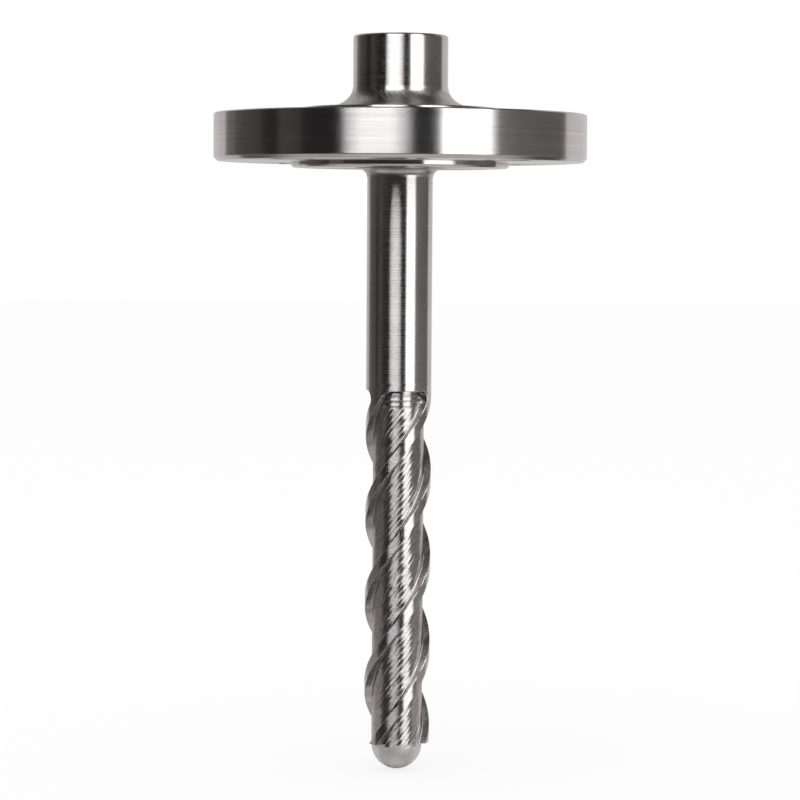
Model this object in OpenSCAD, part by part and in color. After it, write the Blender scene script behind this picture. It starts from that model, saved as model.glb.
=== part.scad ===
// Flanged thermowell, drilled from bar stock, with three helical strakes milled into its stem.
// The stem hangs through a raised-face flange, its head seats on the hub, and one weld above and
// one below the flange hold it there.  All sizes are in millimetres.
// The origin is the centre of the raised face, and +Z points up to the instrument connection.

/* [Flange] */
// Outside diameter of the flange
flange_d = 125; // [118:0.5:150]
// Thickness of the flange, without its hub and its raised face
flange_t = 15.9; // [12:0.1:24]
// Chamfer on the rim's upper edge
rim_top_chamfer = 0.4; // [0.2:0.1:2]
// Chamfer on the rim's lower edge
rim_bottom_chamfer = 1.2; // [0.2:0.1:2]
// Diameter of the raised face
raised_face_d = 73; // [60:0.5:80]
// Height of the raised face
raised_face_h = 2; // [1:0.1:5]
// Chamfer on the raised face's edge
raised_face_chamfer = 0.6; // [0.2:0.1:0.9]
// Diameter of the hub
hub_d = 65; // [60:0.5:78]
// Height of the hub above the back of the flange
hub_h = 2.1; // [1:0.1:20]
// Rounding of the hub's edge
hub_edge_r = 0.6; // [0.2:0.1:0.9]

/* [Bolting] */
// Diameter of the circle of bolt holes
bolt_circle_d = 98.4; // [97:0.1:100]
// Diameter of each bolt hole
bolt_hole_d = 15.9; // [12:0.1:17]
// Number of bolt holes
bolt_count = 4; // [4:4:8]

/* [Head] */
// Diameter of the head
head_d = 31.75; // [29:0.05:38]
// Length of the head above the hub
head_l = 24.2; // [22:0.1:60]
// Rounding of the head's top edge
head_edge_r = 1; // [0.3:0.1:2]

/* [Instrument socket] */
// Diameter of the tapping hole of the half-inch taper pipe thread
socket_d = 18.3; // [14:0.1:20]
// Depth of the tapping hole
socket_depth = 20; // [15:0.5:22]
// Diameter of the countersink at the mouth
socket_mouth_d = 21.8; // [20.5:0.1:24]
// Full angle of the drill points at the ends of both holes
drill_point_angle = 118; // [90:1:140]

/* [Stem] */
// Diameter of the shank
shank_d = 22; // [20:0.1:25]
// Length from the raised face to the tip
insertion_l = 203.2; // [190:0.1:300]
// Diameter of the rounded tip
tip_d = 16.9; // [15:0.1:16.9]
// Diameter of the bore for the sensor
bore_d = 6.6; // [5:0.1:9]
// Wall left between the end of the bore and the tip
tip_wall = 6.4; // [5:0.1:12]

/* [Strakes] */
// Number of helical strakes
strake_count = 3; // [2:1:4]
// Length of the straked part
strake_l = 120.2; // [60:0.1:150]
// Axial length of one full turn of a strake
strake_lead = 86.8; // [60:0.1:140]
// Diameter across the floors of the grooves
core_d = 17; // [17:0.1:19]
// Width of a strake's land, measured round the shank
land_w = 3.9; // [2:0.1:6]
// Radius of the root between a strake's flank and the core
root_r = 0.6; // [0.4:0.1:1.4]
// Turn of the first strake about the axis at its lower end, in degrees
strake_turn = 99; // [0:0.5:360]
// Radius of the wide corner at the top of each groove
wide_corner_r = 5; // [2:0.1:7]
// Radius of the narrow corner at the top of each groove
narrow_corner_r = 2.9; // [1.5:0.1:3.5]

/* [Welds] */
// Width of the upper weld along the hub
upper_weld_w = 10; // [5:0.1:10.5]
// Height of the upper weld up the head
upper_weld_h = 7.5; // [4:0.1:12]
// Width of the lower weld along the raised face
lower_weld_w = 4; // [2:0.1:8]
// Height of the lower weld down the shank
lower_weld_h = 3; // [2:0.1:8]
// Depth of the bevel in the raised face that the lower weld fills
lower_bevel_h = 3; // [1:0.1:8]
// Thickness of a dressed weld at its toes
weld_toe = 0.15; // [0.1:0.05:0.4]

/* [Fits] */
// Gap between the shank and the flange's bore, on each side
bore_gap = 0.1; // [0.05:0.05:0.5]

/* [Hidden] */
$fn = 96;

flange_back_z = raised_face_h + flange_t;
hub_top_z = flange_back_z + hub_h;
head_top_z = hub_top_z + head_l;

head_r = head_d / 2;
shank_r = shank_d / 2;
core_r = core_d / 2;
tip_r = tip_d / 2;
flange_bore_r = shank_r + bore_gap;
strake_end_z = tip_r - insertion_l;
strake_top_z = strake_end_z + strake_l;

cut_through = 1;        // how far a cutter runs past the face that it opens
arc_step = 15;          // angle between the points of small rounded edges
weld_arc_step = 7.5;    // angle between the points of a weld's hollow face

// The grooves between the strakes, in degrees round the axis
groove_pitch = 360 / strake_count;
land_half_angle = to_angle(land_w / 2, shank_r);
core_climb = atan(strake_lead / (PI * core_d));
root_angle = to_angle(root_r / sin(core_climb), core_r);
groove_start = land_half_angle;
groove_end = groove_pitch - land_half_angle;
groove_clear_r = shank_r + 2;
root_steps = 3;
floor_steps = 6;
mouth_steps = 4;
twist_step = 6;         // turn of the grooves between two slices

// Climb of a strake's edge, seen flat when the shank's surface is unrolled
land_climb = atan(strake_lead / (PI * shank_d));
corner_steps = 8;
corner_inset = 0.4;     // how far a corner's metal reaches into the bar that it joins

// Angle in degrees that an arc of a given length takes on a circle of radius r
function to_angle(arc_length, r) = arc_length / r * 180 / PI;

function polar(r, angle) = [r * cos(angle), r * sin(angle)];

// A quarter of an ellipse round the point centre, from angle start to start + 90
function quarter(centre, rx, ry, start, step) =
    [for (a = [start:step:start + 90]) centre + [rx * cos(a), ry * sin(a)]];

// Outline of one groove across the axis: its mouth lies outside the shank, its flanks are radial,
// and rounded roots join them to a floor on the core circle
function groove_outline() = concat(
    [for (i = [0:mouth_steps])
        polar(groove_clear_r, groove_start + (groove_end - groove_start) * i / mouth_steps)],
    groove_root(groove_end, -1),
    [for (i = [1:floor_steps - 1])
        polar(core_r, floor_angle(1 - i / floor_steps))],
    reversed(groove_root(groove_start, 1)));

// Points of a root from the flank at an angle down to the floor; side is the way into the groove
function groove_root(flank_angle, side) =
    [for (i = [0:root_steps])
        let (a = 90 * i / root_steps)
        polar(core_r + root_r * (1 - sin(a)), flank_angle + side * root_angle * (1 - cos(a)))];

function floor_angle(share) =
    groove_start + root_angle + (groove_end - groove_start - 2 * root_angle) * share;

function reversed(points) = [for (i = [len(points) - 1:-1:0]) points[i]];

// One rounded corner at the top of a groove, unrolled: x runs round the shank and y up from the
// groove's top.  It starts on the top wall and ends on the flank.  side is 1 for the wide corner,
// which opens to the right of a strake, and -1 for the narrow one on the next strake's left.
function corner_arc(r, side) =
    let (reach = r * (1 - side * cos(land_climb)) / sin(land_climb),
         last = side > 0 ? 90 + land_climb : land_climb - 90)
    [for (i = [0:corner_steps])
        [side * reach, -r] + polar(r, 90 + (last - 90) * i / corner_steps)];

// Point on a cylinder of radius r from an unrolled point, turned to a groove's edge
function wrapped(point, r, edge_angle) =
    let (at = polar(r, edge_angle + to_angle(point.x, shank_r)))
    [at.x, at.y, strake_top_z + point.y];

// Metal that the round mill leaves in a corner: a fan from a point inside the solid bar to the
// arc, taken straight out from inside the core to outside the shank
module mill_corner(r, side, edge_angle) {
    arc = corner_arc(r, side);
    into_land = side * corner_inset * [-sin(land_climb), cos(land_climb)];
    apex = corner_inset * [-side, 1];
    rim = concat([arc[0] + [0, corner_inset]], arc, [arc[corner_steps] + into_land]);
    outline = concat([apex], side > 0 ? rim : reversed(rim));
    n = len(outline);
    points = concat([for (p = outline) wrapped(p, core_r - root_r, edge_angle)],
                    [for (p = outline) wrapped(p, groove_clear_r, edge_angle)]);
    inner = [for (i = [1:n - 2]) [0, i + 1, i]];
    outer = [for (f = inner) [n + f[0], n + f[2], n + f[1]]];
    edge = [for (i = [0:n - 1]) let (j = (i + 1) % n) each [[i, j, i + n], [j, j + n, i + n]]];
    polyhedron(points, concat(inner, outer, edge));
}

// What the mill takes out between two strakes, with its two rounded corners at the top
module groove_cut() {
    run = strake_l + cut_through;
    top_turn = 360 * strake_l / strake_lead;
    difference() {
        translate([0, 0, strake_end_z - cut_through])
            rotate(-360 * cut_through / strake_lead)
                linear_extrude(height = run, twist = -360 * run / strake_lead,
                               slices = ceil(360 * run / strake_lead / twist_step),
                               segments = len(groove_outline()))
                    polygon(groove_outline());
        mill_corner(wide_corner_r, 1, top_turn + groove_start);
        mill_corner(narrow_corner_r, -1, top_turn + groove_end);
    }
}

module strake_grooves() {
    for (i = [0:strake_count - 1])
        rotate(strake_turn + i * groove_pitch) groove_cut();
}

// The turned bar: rounded tip, shank and head, before it is drilled and milled
module turned_bar() {
    translate([0, 0, strake_end_z]) cylinder(r = shank_r, h = hub_top_z - strake_end_z);
    rotate_extrude() polygon(concat(
        [[0, strake_end_z], [0, -insertion_l]],
        [for (a = [arc_step / 2:arc_step / 2:90]) [tip_r * sin(a), strake_end_z - tip_r * cos(a)]]));
    rotate_extrude() polygon(concat(
        [[0, hub_top_z], [head_r, hub_top_z]],
        quarter([head_r - head_edge_r, head_top_z - head_edge_r], head_edge_r, head_edge_r, 0, arc_step),
        [[0, head_top_z]]));
}

// A drilled hole from the head's top down to a depth, with a drill point below its full diameter
module drilled(d, depth) {
    point_h = d / 2 / tan(drill_point_angle / 2);
    translate([0, 0, head_top_z - depth]) cylinder(d = d, h = depth + cut_through);
    translate([0, 0, head_top_z - depth - point_h]) cylinder(d1 = 0, d2 = d, h = point_h);
}

// The tapping hole for the instrument, countersunk at its mouth
module instrument_socket() {
    mouth_h = (socket_mouth_d - socket_d) / 2;
    drilled(socket_d, socket_depth);
    translate([0, 0, head_top_z - mouth_h])
        cylinder(d1 = socket_d, d2 = socket_mouth_d + 2 * cut_through, h = mouth_h + cut_through);
}

module sensor_bore() {
    drilled(bore_d, head_top_z + insertion_l - tip_wall - bore_d / 2 / tan(drill_point_angle / 2));
}

module well_stem() {
    color("silver")
    difference() {
        turned_bar();
        strake_grooves();
        instrument_socket();
        sensor_bore();
    }
}

// Half of the flange's section, from the axis outwards
function flange_outline() = concat(
    [[0, 0], [raised_face_d / 2 - raised_face_chamfer, 0],
     [raised_face_d / 2, raised_face_chamfer],
     [raised_face_d / 2, raised_face_h],
     [flange_d / 2 - rim_bottom_chamfer, raised_face_h],
     [flange_d / 2, raised_face_h + rim_bottom_chamfer],
     [flange_d / 2, flange_back_z - rim_top_chamfer],
     [flange_d / 2 - rim_top_chamfer, flange_back_z],
     [hub_d / 2, flange_back_z]],
    quarter([hub_d / 2 - hub_edge_r, hub_top_z - hub_edge_r], hub_edge_r, hub_edge_r, 0, arc_step),
    [[0, hub_top_z]]);

module flange() {
    color("lightsteelblue")
    difference() {
        rotate_extrude() polygon(flange_outline());
        translate([0, 0, -cut_through])
            cylinder(r = flange_bore_r, h = hub_top_z + 2 * cut_through);
        rotate_extrude() polygon(lower_bevel_outline());
        for (i = [0:bolt_count - 1])
            rotate((i + 0.5) * 360 / bolt_count)
                translate([bolt_circle_d / 2, 0, raised_face_h - cut_through])
                    cylinder(d = bolt_hole_d, h = flange_t + 2 * cut_through);
    }
}

// Section of the bevel round the flange's bore, which the lower weld fills
function lower_bevel_outline() =
    [[shank_r, -cut_through], [shank_r + lower_weld_w, -cut_through], [shank_r + lower_weld_w, 0],
     [flange_bore_r, lower_bevel_h], [shank_r, lower_bevel_h]];

// Section of a dressed weld in the corner of a wall of radius wall_r and a flat face at y = 0: its
// hollow face is a quarter of an ellipse, and root holds what lies behind the flat face
function weld_outline(wall_r, w, h, root) = concat(
    [[wall_r, h]],
    quarter([wall_r + w, h], w - weld_toe, h - weld_toe, 180, weld_arc_step),
    [[wall_r + w, 0]], root);

module upper_weld() {
    color("gainsboro")
    translate([0, 0, hub_top_z])
        rotate_extrude() polygon(weld_outline(head_r, upper_weld_w, upper_weld_h, [[head_r, 0]]));
}

module lower_weld() {
    color("gainsboro")
    mirror([0, 0, 1])
        rotate_extrude() polygon(weld_outline(shank_r, lower_weld_w, lower_weld_h,
            [[flange_bore_r, -lower_bevel_h], [shank_r, -lower_bevel_h]]));
}

well_stem();
flange();
upper_weld();
lower_weld();
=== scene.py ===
"""Looks of a flanged thermowell with three helical strakes milled into its stem.

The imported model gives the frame: metres, +Z up, the origin at the centre of the raised face.
Each sub-assembly is a class.  The stem's two pieces and the thread in its socket follow rules,
so Geometry Nodes make them from plain grids of rings; the flange and the welds are turned
sections with their holes cut in mesh code.
"""

import logging
import math
from dataclasses import dataclass
from enum import Enum
from typing import Iterable, Sequence

import bmesh
import bpy
import numpy as np
from mathutils import Euler, Matrix, Vector

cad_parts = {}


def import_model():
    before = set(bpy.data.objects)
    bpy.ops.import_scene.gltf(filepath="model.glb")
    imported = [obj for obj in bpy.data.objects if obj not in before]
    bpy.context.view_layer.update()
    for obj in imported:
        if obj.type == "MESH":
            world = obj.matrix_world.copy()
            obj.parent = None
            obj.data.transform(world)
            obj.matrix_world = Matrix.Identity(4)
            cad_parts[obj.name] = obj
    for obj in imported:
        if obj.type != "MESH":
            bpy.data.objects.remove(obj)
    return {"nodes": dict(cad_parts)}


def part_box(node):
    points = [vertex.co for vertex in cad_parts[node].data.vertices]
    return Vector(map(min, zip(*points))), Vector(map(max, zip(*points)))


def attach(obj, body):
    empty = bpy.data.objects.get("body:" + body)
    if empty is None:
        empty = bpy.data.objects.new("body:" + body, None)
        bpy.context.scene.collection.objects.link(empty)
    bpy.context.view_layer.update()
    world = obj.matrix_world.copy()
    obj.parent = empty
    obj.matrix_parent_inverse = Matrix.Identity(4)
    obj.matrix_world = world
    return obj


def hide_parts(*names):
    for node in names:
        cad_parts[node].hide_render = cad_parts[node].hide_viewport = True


logging.basicConfig(level=logging.INFO, format="%(message)s")
log = logging.getLogger("thermowell")

MM = 0.001
BODY = "root"


class Slot(Enum):
    """Material slots of the record."""

    STEM = "stem"
    FLANGE = "flange"
    WELD = "weld"


# ---------------------------------------------------------------------------------------------
# Node arithmetic
# ---------------------------------------------------------------------------------------------


class Field:
    """A number worked out by a node tree, with the usual arithmetic."""

    def __init__(self, tree: bpy.types.NodeTree, socket: bpy.types.NodeSocket) -> None:
        """Wrap an output socket.

        Args:
            tree: The node tree that the socket belongs to.
            socket: The output that carries the number.
        """
        self.tree = tree
        self.socket = socket

    def math(self, operation: str, *others: "Field | float", clamp: bool = False) -> "Field":
        """Add one Math node.

        Args:
            operation: The node's operation.
            others: Further operands, after this one.
            clamp: Whether the result is held between 0 and 1.

        Returns:
            The node's result.
        """
        node = self.tree.nodes.new("ShaderNodeMath")
        node.operation = operation
        node.use_clamp = clamp
        for index, value in enumerate((self, *others)):
            if isinstance(value, Field):
                self.tree.links.new(value.socket, node.inputs[index])
            else:
                node.inputs[index].default_value = value
        return Field(self.tree, node.outputs[0])

    def __add__(self, other: "Field | float") -> "Field":
        """Sum."""
        return self.math("ADD", other)

    __radd__ = __add__

    def __sub__(self, other: "Field | float") -> "Field":
        """Difference."""
        return self.math("SUBTRACT", other)

    def __rsub__(self, other: float) -> "Field":
        """Difference from a plain number."""
        return self.math("MULTIPLY_ADD", -1.0, other)

    def __mul__(self, other: "Field | float") -> "Field":
        """Product."""
        return self.math("MULTIPLY", other)

    __rmul__ = __mul__

    def __truediv__(self, other: "Field | float") -> "Field":
        """Quotient."""
        return self.math("DIVIDE", other)

    def __neg__(self) -> "Field":
        """Opposite."""
        return self.math("MULTIPLY", -1.0)

    def above(self, other: "Field | float") -> "Field":
        """1 where this is greater than the other, else 0."""
        return self.math("GREATER_THAN", other)

    def clamped(self) -> "Field":
        """Held between 0 and 1."""
        return self.math("ADD", 0.0, clamp=True)

    def ramp(self, start: "Field | float", end: "Field | float") -> "Field":
        """0 at start, 1 at end, straight between them and level outside."""
        return ((self - start) / (_minus(end, start))).clamped()

    def smooth(self, start: "Field | float", end: "Field | float") -> "Field":
        """0 at start, 1 at end, with an even S between them."""
        t = self.ramp(start, end)
        return t * t * (3.0 - 2.0 * t)

    def towards(self, other: "Field | float", share: "Field") -> "Field":
        """A mix of this and the other, by the share of the other."""
        return self + (_minus(other, self)) * share


def _minus(a: "Field | float", b: "Field | float") -> "Field | float":
    """Difference of two values, of which either may be a plain number."""
    if isinstance(a, Field):
        return a - b
    return b * -1.0 + a if isinstance(b, Field) else a - b


class RingRule:
    """Geometry Nodes tree that places the vertices of a ring grid by a rule.

    The grid's vertices carry named numbers.  The rule reads them, works out a radius, a turn
    and a height, and the tree moves each vertex there, closes the seam and the poles, and
    gives the mesh its materials.
    """

    def __init__(self, name: str) -> None:
        """Start an empty tree.

        Args:
            name: Name of the tree.
        """
        self.tree = bpy.data.node_groups.new(name, "GeometryNodeTree")
        face = self.tree.interface
        face.new_socket("Geometry", in_out="INPUT", socket_type="NodeSocketGeometry")
        face.new_socket("Geometry", in_out="OUTPUT", socket_type="NodeSocketGeometry")
        self.entry = self.tree.nodes.new("NodeGroupInput")
        self.exit = self.tree.nodes.new("NodeGroupOutput")
        self.values: dict[str, object] = {}
        self.flow = self.entry.outputs["Geometry"]

    def size(self, name: str, value: float) -> Field:
        """Add a named input for a size.

        Args:
            name: Name shown on the modifier.
            value: What this piece sets it to.

        Returns:
            The input, for use in the rule.
        """
        item = self.tree.interface.new_socket(name, in_out="INPUT", socket_type="NodeSocketFloat")
        self.values[item.identifier] = float(value)
        return Field(self.tree, self._entry_socket(item.identifier))

    def seed(self, value: int) -> bpy.types.NodeSocket:
        """Add the named input for the fixed seed.

        Args:
            value: The seed.

        Returns:
            The input's socket.
        """
        item = self.tree.interface.new_socket("Seed", in_out="INPUT", socket_type="NodeSocketInt")
        self.values[item.identifier] = int(value)
        return self._entry_socket(item.identifier)

    def _entry_socket(self, identifier: str) -> bpy.types.NodeSocket:
        """The group input's socket with an identifier."""
        return next(s for s in self.entry.outputs if s.identifier == identifier)

    def carried(self, name: str) -> Field:
        """A number that the grid's vertices carry.

        Args:
            name: Name of the attribute.

        Returns:
            The attribute as a field.
        """
        node = self.tree.nodes.new("GeometryNodeInputNamedAttribute")
        node.data_type = "FLOAT"
        node.inputs["Name"].default_value = name
        return Field(self.tree, node.outputs["Attribute"])

    def chance(self, number: Field, seed: bpy.types.NodeSocket, low: float, high: float) -> Field:
        """A fixed random number for each whole number.

        Args:
            number: The whole number that it belongs to.
            seed: The seed's socket.
            low: Lowest value.
            high: Highest value.

        Returns:
            The random number.
        """
        node = self.tree.nodes.new("FunctionNodeRandomValue")
        node.data_type = "FLOAT"
        floats = [s for s in node.inputs if s.type == "VALUE" and s.enabled]
        floats[0].default_value, floats[1].default_value = low, high
        whole = self.tree.nodes.new("FunctionNodeFloatToInt")
        self.tree.links.new(number.socket, whole.inputs[0])
        self.tree.links.new(whole.outputs[0], node.inputs["ID"])
        self.tree.links.new(seed, node.inputs["Seed"])
        return Field(self.tree, next(s for s in node.outputs if s.type == "VALUE" and s.enabled))

    def place(self, radius: Field, turn: Field, height: Field) -> None:
        """Move every vertex to its radius, turn and height.

        Args:
            radius: Distance from the axis.
            turn: Angle about the axis, in radians.
            height: Height along the axis.
        """
        joint = self._vector(radius * turn.math("COSINE"), radius * turn.math("SINE"), height)
        node = self._step("GeometryNodeSetPosition")
        self.tree.links.new(joint, node.inputs["Position"])

    def lay_map(self, along: Field, across: Field) -> None:
        """Store a UV map whose first axis runs along the tool marks.

        Args:
            along: Distance along the marks.
            across: Distance across them.
        """
        node = self._step("GeometryNodeStoreNamedAttribute")
        node.data_type, node.domain = "FLOAT2", "CORNER"
        node.inputs["Name"].default_value = "UVMap"
        value = next(s for s in node.inputs if s.name == "Value" and s.enabled)
        self.tree.links.new(self._vector(along, across, along * 0.0), value)

    def finish(self, zones: Sequence[tuple[bpy.types.Material, "Field | None"]], weld: float) -> None:
        """Close the seam, realize, and give each zone its material.

        Args:
            zones: Materials with the field that is 1 where each lies; None lays it everywhere.
            weld: Distance under which vertices are joined.
        """
        node = self._step("GeometryNodeMergeByDistance")
        node.inputs["Distance"].default_value = weld
        self._step("GeometryNodeRealizeInstances")
        for material, where in zones:
            node = self._step("GeometryNodeSetMaterial")
            node.inputs["Material"].default_value = material
            if where is not None:
                test = self.tree.nodes.new("FunctionNodeCompare")
                test.data_type, test.operation = "FLOAT", "GREATER_THAN"
                test.inputs[1].default_value = 0.5
                self.tree.links.new(where.socket, test.inputs[0])
                self.tree.links.new(test.outputs[0], node.inputs["Selection"])
        self.tree.links.new(self.flow, self.exit.inputs[0])

    def _vector(self, x: Field, y: Field, z: Field) -> bpy.types.NodeSocket:
        """Join three numbers into a vector."""
        node = self.tree.nodes.new("ShaderNodeCombineXYZ")
        for index, value in enumerate((x, y, z)):
            self.tree.links.new(value.socket, node.inputs[index])
        return node.outputs[0]

    def _step(self, kind: str) -> bpy.types.Node:
        """Add a node to the end of the flow of geometry."""
        node = self.tree.nodes.new(kind)
        self.tree.links.new(self.flow, node.inputs["Geometry"])
        self.flow = node.outputs["Geometry"]
        return node

    def apply(self, obj: bpy.types.Object) -> bpy.types.Object:
        """Run the tree on an object and keep the result as its plain mesh.

        Args:
            obj: The object with the ring grid.

        Returns:
            The same object, with no modifier left.
        """
        modifier = obj.modifiers.new("rule", "NODES")
        modifier.node_group = self.tree
        for identifier, value in self.values.items():
            modifier[identifier] = value
        graph = bpy.context.evaluated_depsgraph_get()
        made = bpy.data.meshes.new_from_object(obj.evaluated_get(graph))
        obj.modifiers.clear()
        old, obj.data = obj.data, made
        bpy.data.meshes.remove(old)
        made.name = obj.name
        return obj


# ---------------------------------------------------------------------------------------------
# Meshes of rings
# ---------------------------------------------------------------------------------------------


def ring_grid(name: str, turns: np.ndarray, rows: dict[str, np.ndarray],
              columns: dict[str, np.ndarray], closed: bool) -> bpy.types.Object:
    """Make a grid with one column for each turn and one row for each ring.

    Args:
        name: Name of the object.
        turns: Position of each column; the last one lies on the first.
        rows: Numbers that belong to each row, by name.
        columns: Numbers that belong to each column, by name.
        closed: Whether the last row joins the first.

    Returns:
        The object, whose vertices carry the numbers.
    """
    n_rows, n_columns = len(next(iter(rows.values()))), len(turns)
    points = np.zeros((n_rows, n_columns, 3))
    points[:, :, 0] = turns[None, :]
    points[:, :, 2] = np.arange(n_rows)[:, None]
    low = np.arange(n_rows if closed else n_rows - 1)
    side = np.arange(n_columns - 1)
    a = low[:, None] * n_columns + side[None, :]
    b = ((low + 1) % n_rows)[:, None] * n_columns + side[None, :]
    faces = np.stack([a, a + 1, b + 1, b], axis=-1).reshape(-1, 4)
    mesh = bpy.data.meshes.new(name)
    mesh.from_pydata(points.reshape(-1, 3), [], faces)
    for key, values in rows.items():
        _carry(mesh, key, np.repeat(values, n_columns))
    for key, values in columns.items():
        _carry(mesh, key, np.tile(values, n_rows))
    return place(name, mesh)


def _carry(mesh: bpy.types.Mesh, name: str, values: np.ndarray) -> None:
    """Store one number for each vertex."""
    attribute = mesh.attributes.new(name, "FLOAT", "POINT")
    attribute.data.foreach_set("value", values.astype(np.float32))


def place(name: str, mesh: bpy.types.Mesh) -> bpy.types.Object:
    """Put a mesh into the scene.

    Args:
        name: Name of the object.
        mesh: Its mesh, already in place.

    Returns:
        The new object, at the origin.
    """
    obj = bpy.data.objects.new(name, mesh)
    bpy.context.scene.collection.objects.link(obj)
    return obj


def outward(obj: bpy.types.Object, sharp: float = 32.0) -> bpy.types.Object:
    """Turn a closed mesh's faces outwards and shade it smooth between its edges.

    Args:
        obj: The object with the closed mesh.
        sharp: Angle in degrees above which an edge stays sharp.

    Returns:
        The same object.
    """
    work = bmesh.new()
    work.from_mesh(obj.data)
    bmesh.ops.recalc_face_normals(work, faces=work.faces)
    if work.calc_volume(signed=True) < 0:
        bmesh.ops.reverse_faces(work, faces=work.faces)
    work.to_mesh(obj.data)
    work.free()
    obj.data.shade_smooth()
    obj.data.set_sharp_from_angle(angle=math.radians(sharp))
    return obj


Point = tuple[float, float]


def rounded(corners: Sequence[tuple[float, float, float]], step: float = 15.0) -> list[Point]:
    """Round the corners of an outline.

    Each arc has one more point on the straight just before and after it, so that the smooth
    shading of the arc doesn't reach into the straight.

    Args:
        corners: Each corner with its rounding radius; 0 keeps it sharp.
        step: Largest angle between two points of an arc, in degrees.

    Returns:
        The points of the rounded outline; it is taken as closed.
    """
    points: list[Point] = []
    for i, (x, y, r) in enumerate(corners):
        here = Vector((x, y))
        back = Vector(corners[i - 1][:2]) - here
        ahead = Vector(corners[(i + 1) % len(corners)][:2]) - here
        if r <= 0 or back.length < 1e-9 or ahead.length < 1e-9:
            points.append((x, y))
            continue
        half = back.angle(ahead) / 2
        reach = min(r / math.tan(half), back.length * 0.46, ahead.length * 0.46)
        r = reach * math.tan(half)
        centre = here + (back.normalized() + ahead.normalized()).normalized() * (r / math.sin(half))
        start = here + back.normalized() * reach - centre
        sweep = math.pi - 2 * half
        side = 1.0 if back.x * ahead.y - back.y * ahead.x < 0 else -1.0
        count = max(1, math.ceil(math.degrees(sweep) / step))
        points.append(tuple(here + back.normalized() * (reach + min(back.length * 0.03, 0.1 * MM))))
        for k in range(count + 1):
            spot = centre + Matrix.Rotation(side * sweep * k / count, 2) @ start
            points.append((spot.x, spot.y))
        points.append(tuple(here + ahead.normalized() * (reach + min(ahead.length * 0.03, 0.1 * MM))))
    return points


def divided(points: Sequence[Point], longest: float) -> list[Point]:
    """Split the long sides of an open outline.

    Args:
        points: The outline.
        longest: No side stays longer than this.

    Returns:
        The outline with its added points.
    """
    made: list[Point] = [points[0]]
    for (x0, y0), (x1, y1) in zip(points, points[1:]):
        count = max(1, math.ceil(math.hypot(x1 - x0, y1 - y0) / longest))
        made += [(x0 + (x1 - x0) * k / count, y0 + (y1 - y0) * k / count) for k in range(1, count + 1)]
    return made


def turned(name: str, outline: Sequence[Point], sides: int, waviness: float = 0.0) -> bpy.types.Object:
    """Turn a closed outline about the Z axis.

    Args:
        name: Name of the object.
        outline: Radius and height of each point, in order.
        sides: Number of columns round the axis.
        waviness: Largest wander of a hand-dressed surface off its outline.

    Returns:
        The turned object.
    """
    section = np.array(outline)
    angles = np.linspace(0, 2 * math.pi, sides, endpoint=False)
    r = np.repeat(section[None, :, 0], sides, axis=0)
    z = np.repeat(section[None, :, 1], sides, axis=0)
    if waviness:
        wave = sum(np.sin(k * angles + 1.7 * k * k) / k for k in (3, 5, 8, 13))[:, None]
        r, z = r + waviness * wave * 0.5, z - waviness * wave * 0.3 * (z > z.min() + 1e-6)
    x, y = r * np.cos(angles)[:, None], r * np.sin(angles)[:, None]
    points = np.stack([x, y, z], axis=-1)
    n = len(section)
    side = np.arange(sides)
    a = side[:, None] * n + np.arange(n)[None, :]
    b = ((side + 1) % sides)[:, None] * n + np.arange(n)[None, :]
    faces = np.stack([a, b, np.roll(b, -1, axis=1), np.roll(a, -1, axis=1)], axis=-1)
    mesh = bpy.data.meshes.new(name)
    mesh.from_pydata(points.reshape(-1, 3), [], faces.reshape(-1, 4))
    return place(name, mesh)


# ---------------------------------------------------------------------------------------------
# Finishes
# ---------------------------------------------------------------------------------------------


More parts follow.
